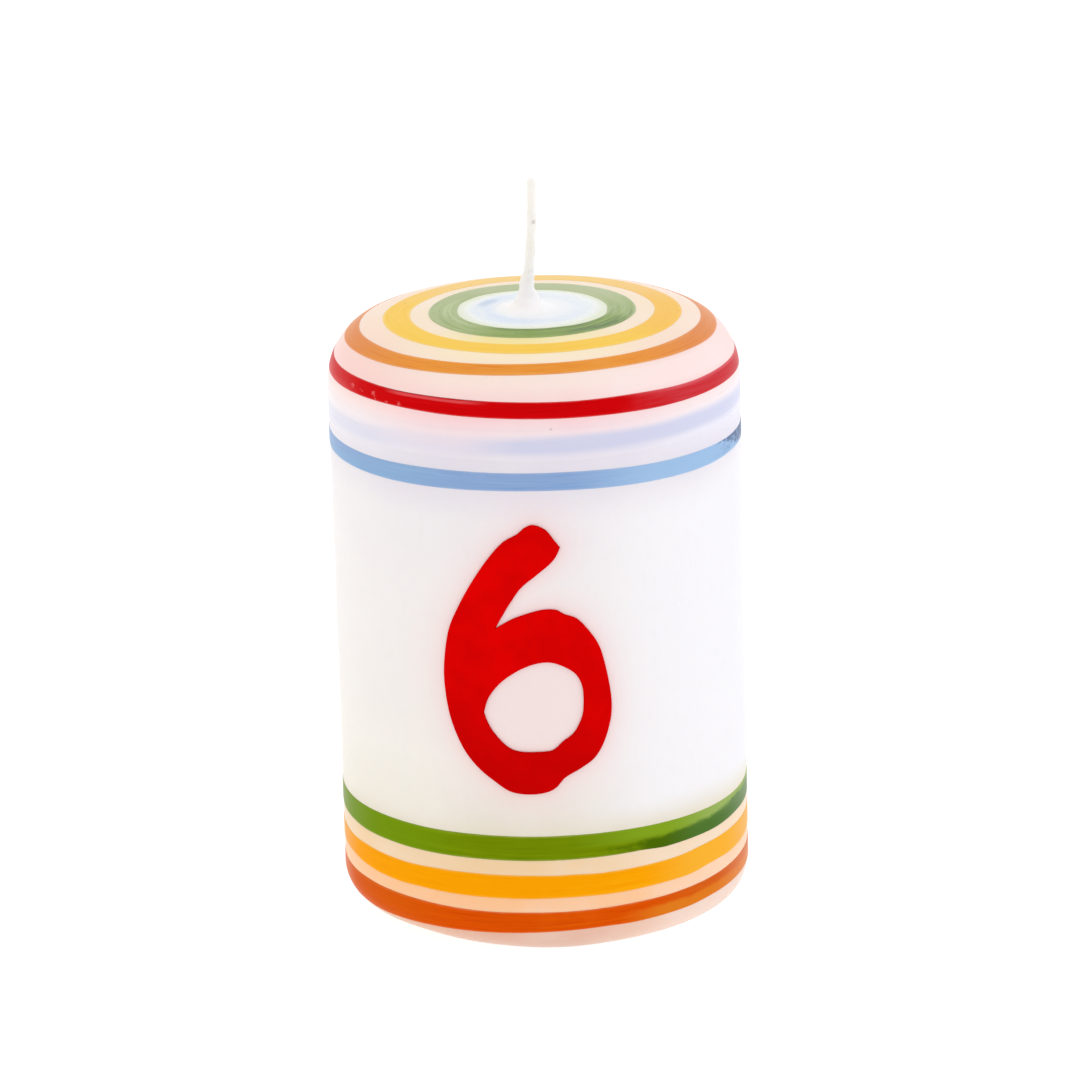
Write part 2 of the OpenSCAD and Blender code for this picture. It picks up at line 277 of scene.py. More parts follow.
def numeral_mesh(name, thick=0.34):
    levels = [(0.0, -0.06), (0.0, thick - 0.16), (0.035, thick - 0.075), (0.085, thick - 0.02), (0.17, thick)]
    verts, faces, edge = [], [], []
    count = 0
    tops = []
    for loop in (OUTER, HOLE):
        n = len(loop)
        first = count
        for d, h in levels:
            uz = inset(loop, d)
            verts.append(on_side(uz, np.full(n, h)))
            edge.append(np.full(n, d))
            count += n
        for lv in range(len(levels) - 1):
            a, b = first + lv * n, first + (lv + 1) * n
            for j in range(n):
                k = (j + 1) % n
                faces.append((a + j, a + k, b + k, b + j))
        tops.append((first, first + (len(levels) - 1) * n, n))

    def sheet(level, grid, h, flip):
        nonlocal count
        d = levels[level][0]
        loops = [inset(OUTER, d), inset(HOLE, d)]
        ids = [np.arange(t[0] + level * t[2], t[0] + level * t[2] + t[2]) for t in tops]
        pts = np.vstack(loops)
        index = np.concatenate(ids).tolist()
        if grid:
            g = np.array([(x, y) for x in np.arange(-13, 13.2, grid) for y in np.arange(-0.5, 41.6, grid)])
            g = g + np.random.RandomState(5).uniform(-0.12, 0.12, g.shape) * grid
            near = np.min(np.hypot(g[:, None, 0] - pts[None, ::2, 0], g[:, None, 1] - pts[None, ::2, 1]), axis=1)
            g = g[inside(loops[0], g) & ~inside(loops[1], g) & (near > 0.45 * grid)]
            verts.append(on_side(g, np.full(len(g), h)))
            edge.append(np.full(len(g), 9.0))
            index += list(range(count, count + len(g)))
            count += len(g)
            pts = np.vstack([pts, g])
        n0, n1 = len(loops[0]), len(loops[1])
        cons = [(i, (i + 1) % n0) for i in range(n0)] + [(n0 + i, n0 + (i + 1) % n1) for i in range(n1)]
        res = delaunay_2d_cdt([Vector(p) for p in pts.tolist()], cons, [], 0, 1e-6)
        back = [o[0] if o else None for o in res[3]]
        out = res[2]
        # the sheet is what can be reached from its largest triangle without crossing an outline
        corners = np.array([[list(res[0][i]) for i in f] for f in out])
        mid = corners.mean(axis=1)
        u, w = corners[:, 1] - corners[:, 0], corners[:, 2] - corners[:, 0]
        area = np.abs(u[:, 0] * w[:, 1] - u[:, 1] * w[:, 0]) * (inside(loops[0], mid) & ~inside(loops[1], mid))
        walls = {frozenset(c) for c in cons}
        sides = [[frozenset((back[f[i]], back[f[i - 1]])) for i in range(3)] for f in out]
        beside = {}
        for i, three in enumerate(sides):
            for s in three:
                beside.setdefault(s, []).append(i)
        todo = [int(area.argmax())]
        seen = set(todo)
        while todo:
            for s in sides[todo.pop()]:
                for i in beside[s] if s not in walls else []:
                    if i not in seen:
                        seen.add(i)
                        todo.append(i)
        for i in sorted(seen):
            q = [index[back[j]] for j in out[i]]
            faces.append(tuple(reversed(q)) if flip else tuple(q))

    sheet(len(levels) - 1, 0.9, thick, False)
    sheet(0, None, -0.06, True)
    ob = make_mesh(name, np.concatenate(verts), faces, {"edge": np.concatenate(edge)})
    check_outward(ob)
    return ob


# ------------------------------------------------------------------ wick
WICK_LINE = [(0.0, 0.5), (0.0, 6.8), (-0.7, 82.3), (-0.7, 86.3), (-0.7, 93.8), (-0.424, 95.1), (-0.2285, 96.39),
             (0.0475, 99.63), (0.2545, 102.87), (0.3695, 106.44), (0.45, 110.0)]


def wick_x(z):
    """Sideways place of the wick's middle at height z, as a smooth curve above the wax."""
    q = np.array(WICK_LINE)
    zz = np.linspace(88, 110, 400)
    lin = np.interp(zz, q[:, 1], q[:, 0])
    k = np.hanning(61)
    k /= k.sum()
    pad = np.concatenate([np.full(30, lin[0]), lin, lin[-1] + (lin[-1] - lin[-2]) * np.arange(1, 31)])
    sm = np.convolve(pad, k, "valid")
    z = np.asarray(z, float)
    return np.where(z < 88, np.interp(z, q[:, 1], q[:, 0]), np.interp(z, zz, sm))


def wick_mesh(name):
    cols = 40
    th = np.arange(cols) / cols * TAU
    zs = np.concatenate([np.linspace(0.5, 86, 60), np.arange(86.12, 109.55, 0.12), [109.6, 109.74, 109.84, 109.9]])
    rows, kind = [], []
    for z in zs:
        up = ease(z, 88, 92)
        r = 0.75 - 0.02 * up + 0.075 * np.exp(-((z - 95.2) / 2.4) ** 2) * up
        # a braid of strands that cross each other, half filled with wax
        s = z * TAU / 2.3
        a = np.cos(2 * th + s * 0.5)
        b = np.cos(2 * th - s * 0.5 + 0.9)
        braid = np.maximum(a, b) - 0.55
        wax = 1 - 0.85 * np.exp(-((z - 95.3) / 2.6) ** 2)
        rr = r + up * wax * (0.055 * braid + 0.018 * np.sin(3 * th + 1.7 * z) * np.sin(0.9 * z))
        end = np.clip((z - 109.35) / 0.55, 0, 1)
        rr = rr * np.sqrt(np.clip(1 - 0.55 * end ** 2.2, 0, 1))
        tilt = 0.10 * np.cos(th - 0.7) * end
        rows.append(np.stack([wick_x(z) + rr * np.sin(th), -rr * np.cos(th), z + tilt + 0 * th], -1))
    verts = np.concatenate(rows)
    n = len(zs)
    faces = ring_faces(n, cols, False)
    bottom, top = len(verts), len(verts) + 1
    verts = np.vstack([verts, [[0.0, 0.0, 0.5]], [[wick_x(109.9), 0.0, 109.93]]])
    for j in range(cols):
        k = (j + 1) % cols
        faces.append((bottom, j, k))
        faces.append((top, (n - 1) * cols + k, (n - 1) * cols + j))
    ob = make_mesh(name, verts, faces)
    check_outward(ob)
    return ob


# ------------------------------------------------------------------ dip coat, with the cone of wax on the wick
CONE = np.array([(5.2, 0.0), (4.2, 0.05), (3.3, 0.17), (2.6, 0.42), (2.05, 0.85), (1.68, 1.4), (1.44, 2.0), (1.28, 2.6),
                 (1.15, 3.2), (1.05, 3.9), (0.96, 4.6), (0.89, 5.2), (0.84, 5.7)])


def coat_mesh(name):
    cols = 408
    phi = np.arange(cols) / cols * TAU
    verts, arc = [], []

    def row(centre, r, z, s):
        verts.append(np.stack([centre + r * np.sin(phi), -r * np.cos(phi), z + 0 * phi], -1))
        arc.append(np.full(cols, s))

    # outside, from the foot up to the shoulder and over the dome
    stops = np.concatenate([np.linspace(S_END, s_foot(0), 18), np.linspace(s_foot(0), s_of(2), 104)[1:],
                            np.linspace(s_of(2), s_of(1), 40)[1:], np.linspace(s_of(1), 9.6, 22)[1:]])
    for s in stops:
        verts.append(surf(phi, s, 0.0)); arc.append(np.full(cols, s))
    # round the wick the rings are centred on it
    for r in np.linspace(9.2, 5.4, 9):
        c = -WICK_LEFT * (1 - float(ease(r, 5.4, 9.6)))
        x, y = c + r * np.sin(phi), -r * np.cos(phi)
        verts.append(np.stack([x, y, BODY_H - DOME_K * (x * x + y * y)], -1)); arc.append(np.full(cols, r))
    fine = curve([tuple(q) for q in CONE], 2)
    for r, h in np.vstack([fine, CONE[-1:]]):
        z = BODY_H + h
        lump = 1 + 0.07 * math.sin(2.6 * h) * np.sin(2 * phi + 1.1) + 0.05 * np.sin(3 * phi + 1.4 * h) + 0.03 * math.sin(5.5 * h)
        k = float(ease(h, 0.0, 1.0))
        rr = r * (1 + k * (lump - 1))
        c = float(wick_x(z))
        x, y = c + rr * np.sin(phi), -rr * np.cos(phi)
        verts.append(np.stack([x, y, z - DOME_K * (x * x + y * y)], -1)); arc.append(np.full(cols, min(r, 5.2)))
    row(float(wick_x(96.15)), 0.78, 96.15, 0.9)
    row(float(wick_x(95.7)), 0.66, 95.7, 0.7)
    # inside: down along the wick and over the core
    row(-WICK_LEFT, 0.66, 92.0, 0.7)
    row(-WICK_LEFT, 0.66, 89.13, 0.7)
    for p in np.concatenate([np.linspace(0.08, 1, 5), np.linspace(1, 2, 9)[1:], np.linspace(2, 3, 4)[1:], np.linspace(3, 4, 9)[1:]]):
        r, z = outline(p, COAT_T - 0.03)
        row(-WICK_LEFT * (1 if p < 0.1 else 0), r, max(z, 0.0), 60.0)
    ob = make_mesh(name, np.concatenate(verts), ring_faces(len(verts), cols, True), {"arc": np.concatenate(arc)})
    # how close each point of the front is to the numeral, for the painted red glow round it and in its hole
    co = np.concatenate(verts)
    ang = np.arctan2(co[:, 0], -co[:, 1])
    u, z = ang * BODY_R, co[:, 2] - NUMERAL_Z
    red_glow = np.zeros(len(co))
    pick = (np.abs(u) < 20) & (z > -8) & (z < 49) & (np.hypot(co[:, 0], co[:, 1]) > 30)
    q = np.stack([u[pick], z[pick]], -1)
    edge_pts = np.vstack([OUTER[::3], HOLE[::3]])
    dist = np.full(len(q), 99.0)
    for i in range(0, len(q), 2000):
        b = q[i:i + 2000]
        dist[i:i + 2000] = np.min(np.hypot(b[:, None, 0] - edge_pts[None, :, 0], b[:, None, 1] - edge_pts[None, :, 1]), axis=1)
    within = inside(OUTER, q) & ~inside(HOLE, q)
    red_glow[pick] = np.where(within, 1.0, np.exp(-dist / 2.2))
    hole_glow = inside(HOLE, q)
    red_glow[np.flatnonzero(pick)[hole_glow]] = np.maximum(red_glow[pick][hole_glow], 0.62)
    a = ob.data.attributes.new("red_glow", "FLOAT", "POINT")
    a.data.foreach_set("value", red_glow.astype(np.float32))
    check_outward(ob)
    return ob


# ------------------------------------------------------------------ materials
def lin(r, g, b):
    """sRGB 0-255 to scene-linear."""
    out = []
    for c in (r, g, b):
        c = max(c, 0) / 255
        out.append(c / 12.92 if c <= 0.04045 else ((c + 0.055) / 1.055) ** 2.4)
    return (*out, 1.0)


class Mat:
    def __init__(self, name):
        self.m = bpy.data.materials.new(name)
        self.m.use_nodes = True
        self.t = self.m.node_tree
        self.t.nodes.clear()
        self.out = self.new("ShaderNodeOutputMaterial")
        self.b = self.new("ShaderNodeBsdfPrincipled")
        self.t.links.new(self.b.outputs["BSDF"], self.out.inputs["Surface"])
        tc = self.new("ShaderNodeTexCoord")
        mul = self.new("ShaderNodeVectorMath")
        mul.operation = "SCALE"
        mul.inputs["Scale"].default_value = 1000.0
        self.t.links.new(tc.outputs["Object"], mul.inputs[0])
        self.xyz = mul.outputs[0]
        sep = self.new("ShaderNodeSeparateXYZ")
        self.t.links.new(self.xyz, sep.inputs[0])
        self.x, self.y, self.z = sep.outputs

    def new(self, kind):
        return self.t.nodes.new(kind)

    def put(self, value, socket):
        if isinstance(value, bpy.types.NodeSocket):
            self.t.links.new(value, socket)
        else:
            socket.default_value = value

    def math(self, op, a, b=None, c=None, clamp=False):
        n = self.new("ShaderNodeMath")
        n.operation = op
        n.use_clamp = clamp
        for v, s in zip((a, b, c), n.inputs):
            if v is not None:
                self.put(v, s)
        return n.outputs[0]

    def add(self, a, b):
        return self.math("ADD", a, b)

    def mul(self, a, b):
        return self.math("MULTIPLY", a, b)

    def smooth(self, v, lo, hi):
        """0 below lo, 1 above hi (or the other way round if lo > hi)."""
        n = self.new("ShaderNodeMapRange")
        n.interpolation_type = "SMOOTHSTEP"
        self.put(v, n.inputs["Value"])
        rising = lo < hi
        n.inputs["From Min"].default_value = min(lo, hi)
        n.inputs["From Max"].default_value = max(lo, hi)
        n.inputs["To Min"].default_value = 0.0 if rising else 1.0
        n.inputs["To Max"].default_value = 1.0 if rising else 0.0
        return n.outputs["Result"]

    def band(self, v, a, b, c, d):
        """0 outside a-d, 1 inside b-c."""
        return self.mul(self.smooth(v, a, b), self.smooth(v, d, c))

    def mix(self, fac, a, b, blend="MIX"):
        n = self.new("ShaderNodeMix")
        n.data_type = "RGBA"
        n.blend_type = blend
        self.put(fac, n.inputs[0])
        self.put(a, n.inputs[6])
        self.put(b, n.inputs[7])
        return n.outputs[2]

    def attr(self, name):
        n = self.new("ShaderNodeAttribute")
        n.attribute_name = name
        return n.outputs["Fac"]

    def vec(self, x, y, z):
        n = self.new("ShaderNodeCombineXYZ")
        for v, s in zip((x, y, z), n.inputs):
            self.put(v, s)
        return n.outputs[0]

    def noise(self, vec, scale, detail=3.0, rough=0.55, warp=0.0):
        n = self.new("ShaderNodeTexNoise")
        self.put(vec, n.inputs["Vector"])
        n.inputs["Scale"].default_value = scale
        n.inputs["Detail"].default_value = detail
        n.inputs["Roughness"].default_value = rough
        n.inputs["Distortion"].default_value = warp
        return n.outputs["Fac"]

    def ramp(self, fac, stops, mode="EASE"):
        n = self.new("ShaderNodeValToRGB")
        n.color_ramp.interpolation = mode
        e = n.color_ramp.elements
        for i, (pos, col) in enumerate(stops):
            el = e[i] if i < 2 else e.new(pos)
            el.position = pos
            el.color = col
        self.put(fac, n.inputs["Fac"])
        return n.outputs["Color"]

    def angle(self):
        """Degrees round the candle from the front, towards +X."""
        return self.mul(self.math("ARCTAN2", self.x, self.mul(self.y, -1.0)), 180 / math.pi)

    def bump(self, height, dist_mm, strength):
        n = self.new("ShaderNodeBump")
        n.inputs["Strength"].default_value = strength
        n.inputs["Distance"].default_value = dist_mm * MM
        self.put(height, n.inputs["Height"])
        self.t.links.new(n.outputs["Normal"], self.b.inputs["Normal"])

    def wax(self, spec=0.3, sss=0.12, radius=(1.0, 0.8, 0.65), depth_mm=0.8, ior=1.44):
        self.b.inputs["IOR"].default_value = ior
        self.b.inputs["Specular IOR Level"].default_value = spec
        self.b.inputs["Subsurface Weight"].default_value = sss
        self.b.inputs["Subsurface Radius"].default_value = radius
        self.b.inputs["Subsurface Scale"].default_value = depth_mm * MM

    def finish(self, ob):
        ob.data.materials.clear()
        ob.data.materials.append(self.m)


def spot(m, ang, arc, phi0, s0, wphi, ws):
    """A soft round or long mark at angle phi0 (degrees) and arc s0 (mm)."""
    dx = m.mul(m.add(ang, -phi0), 1.0 / wphi)
    dy = m.mul(m.add(arc, -s0), 1.0 / ws)
    d = m.math("POWER", m.add(m.mul(dx, dx), m.mul(dy, dy)), 0.5)
    return m.smooth(d, 1.0, 0.25)


# Tones of the dipped wax along its outline: partly its own tint, partly painted light, that is the coloured glow each
# paint casts into the wax beside it, a lighter tone round the wick where less light reaches, and painted shade on the
# strip under the foot.
FRONT_TONE = [
    (0.0, (255, 250, 247)), (2.6, (254, 249, 246)), (4.6, (242, 242, 242)), (5.6, (238, 240, 241)), (9.7, (238, 241, 234)),
    (10.7, (226, 231, 204)), (15.6, (240, 221, 141)), (17.6, (244, 222, 143)), (22.2, (251, 230, 192)), (24.6, (252, 230, 200)),
    (27.6, (255, 230, 217)), (29.5, (255, 229, 219)), (31.0, (254, 220, 214)), (34.3, (252, 210, 211)), (35.2, (248, 217, 219)),
    (36.7, (242, 223, 227)), (39.6, (230, 222, 231)), (41.6, (226, 220, 229)), (45.2, (230, 224, 230)),
    (49.5, (238, 233, 234)), (60.0, (240, 235, 233)), (86.0, (239, 233, 228)), (93.5, (233, 226, 216)), (97.0, (228, 220, 201)),
    (101.4, (238, 205, 161)), (103.4, (240, 208, 166)), (107.3, (252, 195, 145)), (109.0, (251, 198, 152)), (112.8, (224, 178, 156)), (S_END, (226, 200, 185)),
]
SIDE_TONE = [(0.0, (232, 237, 220)), (10.7, (226, 231, 206)), (15.6, (247, 224, 194)), (17.6, (248, 224, 196)), (22.2, (250, 222, 198)),
             (24.6, (250, 222, 200)), (27.6, (252, 216, 206)), (31.0, (250, 212, 206)), (34.3, (250, 222, 217)),
             (35.2, (249, 229, 227)), (36.7, (243, 232, 234)), (39.6, (234, 231, 239)), (41.6, (235, 231, 239))]


def coat_colour(m, arc, ang):
    """Colour of the dipped wax: partly a little of the paints beside it taken up, partly painted light, that is
    coloured glow from the paints, lighter and cooler to the right, painted shade further round and under the foot,
    warmer to the left. Returns the colour, with its soft clouding.
    """
    f = m.math("DIVIDE", arc, 130.0)
    base = m.ramp(f, [(s / 130.0, lin(*c)) for s, c in FRONT_TONE], "LINEAR")
    sides = m.ramp(f, [(s / 130.0, lin(*c)) for s, c in SIDE_TONE], "LINEAR")
    round_ = m.mul(m.smooth(m.math("ABSOLUTE", ang), 18.0, 60.0), m.band(arc, 9.6, 11.0, 39.0, 43.0))
    base = m.mix(round_, base, sides)
    # painted glow: pink from the red and orange rings in the wax between them
    base = m.mix(m.mul(m.mul(m.band(ang, 12.0, 34.0, 66.0, 100.0), m.band(arc, 27.2, 28.4, 31.0, 32.2)), 0.65), base, lin(255, 233, 228))
    # painted light: the body lighter and cooler on its right side
    right = m.mul(m.band(ang, 8.0, 36.0, 110.0, 160.0), m.band(arc, 44.0, 52.0, 93.0, 98.0))
    base = m.mix(m.mul(right, 0.85), base, lin(243, 240, 241))
    # painted shade: the body a little darker further round on the right
    far = m.mul(m.band(ang, 48.0, 84.0, 135.0, 170.0), m.band(arc, 44.0, 50.0, 93.0, 98.0))
    base = m.mix(m.mul(far, 0.7), base, lin(235, 233, 234))
    # painted glow: peach from the rings in the wax between the green and amber base rings
    gap = m.mul(m.band(ang, 8.0, 34.0, 110.0, 160.0), m.band(arc, 100.6, 101.4, 103.4, 104.2))
    base = m.mix(m.mul(gap, 0.6), base, lin(243, 214, 182))
    # painted light: a warmer tone on the lower left side
    left = m.mul(m.band(ang, -150.0, -100.0, -36.0, -10.0), m.band(arc, 78.0, 88.0, 95.0, 98.0))
    base = m.mix(m.mul(left, 0.45), base, lin(242, 238, 226))
    # painted shade under the foot, tinted with the painted glow of the orange ring
    foot = m.smooth(arc, 110.0, 112.5)
    base = m.mix(m.mul(foot, m.band(ang, 4.0, 46.0, 110.0, 160.0)), base, lin(237, 203, 183))
    base = m.mix(m.mul(m.mul(foot, m.band(ang, -120.0, -80.0, -40.0, -5.0)), 0.7), base, lin(232, 187, 158))
    cloud = m.noise(m.xyz, 0.055, 3.0, 0.55)
    base = m.mix(m.mul(m.smooth(cloud, 0.42, 0.72), 0.22), base, lin(246, 242, 238))
    fine = m.noise(m.vec(m.x, m.y, m.mul(m.z, 0.5)), 0.9, 4.0, 0.6)
    return m.mix(m.mul(m.smooth(fine, 0.5, 0.78), 0.10), base, lin(222, 214, 208))


def coat_material():
    m = Mat("dipped_white_wax")
    arc, ang = m.attr("arc"), m.angle()
    base = coat_colour(m, arc, ang)
    # painted glow: pink from the red numeral in the wax round it
    base = m.mix(m.mul(m.attr("red_glow"), 0.5), base, lin(246, 200, 198))
    speck = m.math("MAXIMUM", m.mul(spot(m, ang, arc, 8.2, 35.75, 0.55, 0.5), 0.6),
                   m.mul(spot(m, ang, arc, 151.0, 58.0, 0.5, 0.3), 0.35))
    base = m.mix(speck, base, lin(176, 150, 146))
    m.put(base, m.b.inputs["Base Color"])
    m.put(m.add(0.24, m.mul(m.noise(m.xyz, 0.35, 4.0), 0.16)), m.b.inputs["Roughness"])
    m.wax(spec=0.14, sss=0.15, radius=(1.0, 0.75, 0.6), depth_mm=1.0)
    m.bump(m.add(m.noise(m.xyz, 0.22, 3.0), m.mul(m.noise(m.xyz, 1.6, 3.0), 0.25)), 0.10, 0.2)
    return m


def streaks(m, along=0.06, over=1.6, seed=0.0, detail=4.0):
    """Brush marks that run round the candle."""
    return m.noise(m.vec(m.mul(m.x, along), m.mul(m.y, along), m.add(m.mul(m.attr("arc"), over), seed)), 1.0, detail, 0.6)


def paint_material(name, mid, light, dark, edge, seed, spec=0.05, pale_edge=0.4, edge_w=0.10, light_amt=0.7, dark_amt=0.6, rough=0.28):
    """Wax paint: tones along brush marks, thinner at its edges, where the wax below shows. Returns material and colour."""
    m = Mat(name)
    st = streaks(m, 0.05, 1.5, seed)
    st2 = streaks(m, 0.11, 3.2, seed + 7.3)
    blot = m.noise(m.xyz, 0.10, 3.0, 0.6)
    col = m.mix(m.mul(m.smooth(st, 0.52, 0.74), light_amt), lin(*mid), lin(*light))
    col = m.mix(m.mul(m.smooth(st2, 0.50, 0.30), dark_amt), col, lin(*dark))
    col = m.mix(m.mul(m.smooth(blot, 0.55, 0.75), 0.3), col, lin(*light))
    v = m.attr("across")
    near = m.math("MINIMUM", v, m.math("SUBTRACT", 1.0, v))
    wob = m.noise(m.xyz, 0.5, 3.0)
    rim = m.smooth(m.add(near, m.mul(m.add(wob, -0.5), 0.08)), edge_w, 0.0)
    col = m.mix(m.mul(rim, pale_edge), col, lin(*edge))
    m.put(m.add(rough - 0.05, m.mul(m.noise(m.xyz, 0.4, 4.0), 0.14)), m.b.inputs["Roughness"])
    m.wax(spec=spec, sss=0.0)
    m.bump(m.add(st, m.mul(m.noise(m.xyz, 1.5, 3.0), 0.3)), 0.05, 0.3)
    return m, col


def done(m, col):
    m.put(col, m.b.inputs["Base Color"])
    return m


# ------------------------------------------------------------------ pieces
PHI = np.arange(720) / 720 * TAU
BEND = -0.74 * ease(np.abs((PHI + math.pi) % TAU - math.pi), 0, math.radians(100))


def edge(front, tilt, bow, seed, amp=0.06):
    """Arc of a hand-painted ring's edge: its place in front, its tilt, how much it bows at the sides, and its wobble."""
    return front + tilt * np.sin(PHI) + bow * BEND + waves(seed, amp, PHI, 2, 13, 1.2)


DEG = np.degrees((PHI + math.pi) % TAU - math.pi)


def drift(*steps):
    """Where the brush strays from its line: steps of (mm, and the degrees where it starts, holds, lets go and ends)."""
    return sum(mm * ease(DEG, a, b) * (1 - ease(DEG, c, d)) for mm, a, b, c, d in steps)


def place(ob, node, mat):
    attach(ob, "root")
    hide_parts(node)
    mat.finish(ob)


coat = coat_mesh("candle_coat")
place(coat, "dip_coat", coat_material())

# pale blue wash round the wick
wash = film("pale_blue_wash", edge(s_top(4.7), 0, 0, 10, 0.05), edge(s_top(9.9), 0, 0, 11, 0.06), 0.03, lip=1.2, thin_edge=True)
m = Mat("pale_blue_wax_wash")
arc, ang = m.attr("arc"), m.angle()
cl = m.noise(m.vec(m.mul(m.x, 0.16), m.mul(m.y, 0.16), m.mul(arc, 0.28)), 1.0, 4.0, 0.6)
wob = m.add(arc, m.mul(m.add(cl, -0.5), 1.6))
blue = m.mul(m.band(wob, 4.9, 6.9, 8.2, 9.7), m.add(0.35, m.mul(m.smooth(cl, 0.3, 0.62), 0.65)))
side = m.math("COSINE", m.mul(m.add(ang, 72.0), math.pi / 180))
blue = m.mul(blue, m.add(0.62, m.mul(side, 0.20)))
col = m.mix(blue, coat_colour(m, arc, ang), lin(213, 224, 241))
col = m.mix(m.mul(m.mul(spot(m, ang, arc, -115.0, 7.5, 26.0, 1.5), m.smooth(cl, 0.25, 0.6)), 0.75), col, lin(176, 194, 216))
done(m, col)
m.put(m.add(0.22, m.mul(cl, 0.1)), m.b.inputs["Roughness"])
m.wax(spec=0.14, sss=0.0)
m.bump(cl, 0.05, 0.3)
place(wash, "top_blue_wash", m)

# green ring on the top
ring = film("green_top_ring", edge(s_top(10.98), 0, 0, 21, 0.07) + drift((0.36, 20, 40, 72, 92), (0.28, -165, -140, -112, -92)),
            edge(s_top(15.32), 0, 0, 22, 0.06) + drift((0.3, -181, -180, -140, -105), (0.3, 105, 140, 180, 181)), 0.07)
m, col = paint_material("green_wax_paint_top", (126, 153, 54), (153, 172, 88), (97, 131, 38), (198, 203, 160), 1.0, spec=0.16, edge_w=0.13)
arc, ang = m.attr("arc"), m.angle()
grain = m.noise(m.vec(m.mul(m.x, 0.10), m.mul(m.y, 0.10), m.mul(arc, 2.6)), 1.0, 4.0, 0.65)
soft = m.noise(m.vec(m.mul(m.x, 0.07), m.mul(m.y, 0.07), m.mul(arc, 0.8)), 1.0, 3.0, 0.6)
# painted sheen: the ring paler on both sides
side_sheen = m.mul(m.add(m.mul(m.band(ang, -150.0, -105.0, -46.0, -10.0), 0.62), m.mul(m.band(ang, 60.0, 85.0, 125.0, 160.0), 0.62)), m.smooth(soft, 0.25, 0.55))
col = m.mix(side_sheen, col, lin(180, 190, 140))
# paler at the back: partly thinner paint, partly a painted reflection
col = m.mix(m.mul(m.smooth(m.math("ABSOLUTE", ang), 100.0, 150.0), 0.70), col, lin(186, 193, 150))
pale = m.mul(m.band(ang, -132.0, -104.0, -60.0, -32.0), m.band(arc, 11.5, 12.3, 12.7, 13.6))
col = m.mix(m.mul(m.mul(pale, m.smooth(grain, 0.36, 0.62)), 0.6), col, lin(190, 204, 152))
deep = m.mul(m.band(ang, 14.0, 40.0, 60.0, 78.0), m.band(m.add(arc, m.mul(grain, 1.2)), 13.2, 14.2, 15.4, 16.0))
col = m.mix(m.mul(m.mul(deep, m.smooth(grain, 0.36, 0.54)), 0.8), col, lin(56, 88, 30))
v = m.attr("across")
hair = m.noise(m.vec(m.mul(m.x, 0.16), m.mul(m.y, 0.16), m.mul(arc, 5.0)), 1.0, 3.0, 0.6)
lit = m.mul(m.band(ang, 20.0, 40.0, 78.0, 100.0), m.smooth(hair, 0.50, 0.62))
col = m.mix(m.mul(lit, 0.5), col, lin(150, 178, 112))
cut = m.mul(m.band(ang, 16.0, 36.0, 86.0, 110.0), m.smooth(hair, 0.46, 0.36))
col = m.mix(m.mul(cut, 0.55), col, lin(70, 104, 40))
inner = m.mul(m.band(ang, -36.0, -16.0, 36.0, 62.0), m.band(m.add(v, m.mul(m.add(hair, -0.5), 0.2)), 0.0, 0.07, 0.20, 0.40))
col = m.mix(m.mul(inner, 0.5), col, lin(74, 108, 34))
place(ring, "top_green_ring", done(m, col))

# yellow ring on the top
ring = film("yellow_top_ring", edge(s_top(17.98), 0, 0, 31, 0.06) + drift((-0.4, -165, -140, -115, -92)),
            edge(s_top(22.06), 0, 0, 32, 0.06) + drift((-0.55, -160, -135, -112, -88)), 0.07)
m, col = paint_material("yellow_wax_paint", (248, 201, 68), (249, 210, 94), (245, 187, 46), (250, 216, 140), 2.0, spec=0.06, pale_edge=0.5, edge_w=0.16)
ang = m.angle()
col = m.mix(m.mul(m.band(ang, 40.0, 75.0, 120.0, 165.0), 0.6), col, lin(246, 186, 76))
# paler at the back: partly thinner paint, partly a painted reflection
col = m.mix(m.mul(m.smooth(m.math("ABSOLUTE", ang), 98.0, 138.0), 0.60), col, lin(243, 203, 130))
place(ring, "top_yellow_ring", done(m, col))

# orange ring where the top turns down
ring = film("orange_shoulder_ring", edge(25.05, -0.38, -0.3, 41, 0.05), edge(27.43, -0.40, -0.88, 42, 0.05), 0.07)
m, col = paint_material("orange_wax_paint_top", (236, 151, 58), (240, 167, 85), (223, 119, 38), (242, 188, 134), 3.0, spec=0.05, edge_w=0.16)
ang = m.angle()
col = m.mix(m.mul(m.smooth(m.math("ABSOLUTE", ang), 25.0, 80.0), 0.6), col, lin(222, 134, 90))
place(ring, "shoulder_orange_ring", done(m, col))

# red ring low on the shoulder
ring = film("red_shoulder_ring", edge(31.57, 0.39, -0.17, 51, 0.07), edge(33.98, 0.40, -0.24, 52, 0.06), 0.08)
m, col = paint_material("red_wax_paint", (206, 0, 4), (212, 8, 14), (190, 0, 3), (226, 110, 110), 4.0, spec=0.03, pale_edge=0.55, edge_w=0.10)
arc, ang, v = m.attr("arc"), m.angle(), m.attr("across")
fuzz = m.noise(m.vec(m.mul(m.x, 0.12), m.mul(m.y, 0.12), m.mul(arc, 2.2)), 1.0, 4.0, 0.6)
# paler pink on the right: partly thinner paint, partly a painted sheen
thin = m.band(m.add(ang, m.mul(m.noise(m.xyz, 0.2), 16.0)), 34.0, 60.0, 115.0, 160.0)
col = m.mix(m.mul(thin, m.add(0.40, m.mul(m.smooth(fuzz, 0.35, 0.65), 0.45))), col, lin(204, 62, 70))
col = m.mix(m.mul(m.mul(thin, m.smooth(v, 0.30, 0.0)), 0.55), col, lin(232, 120, 128))
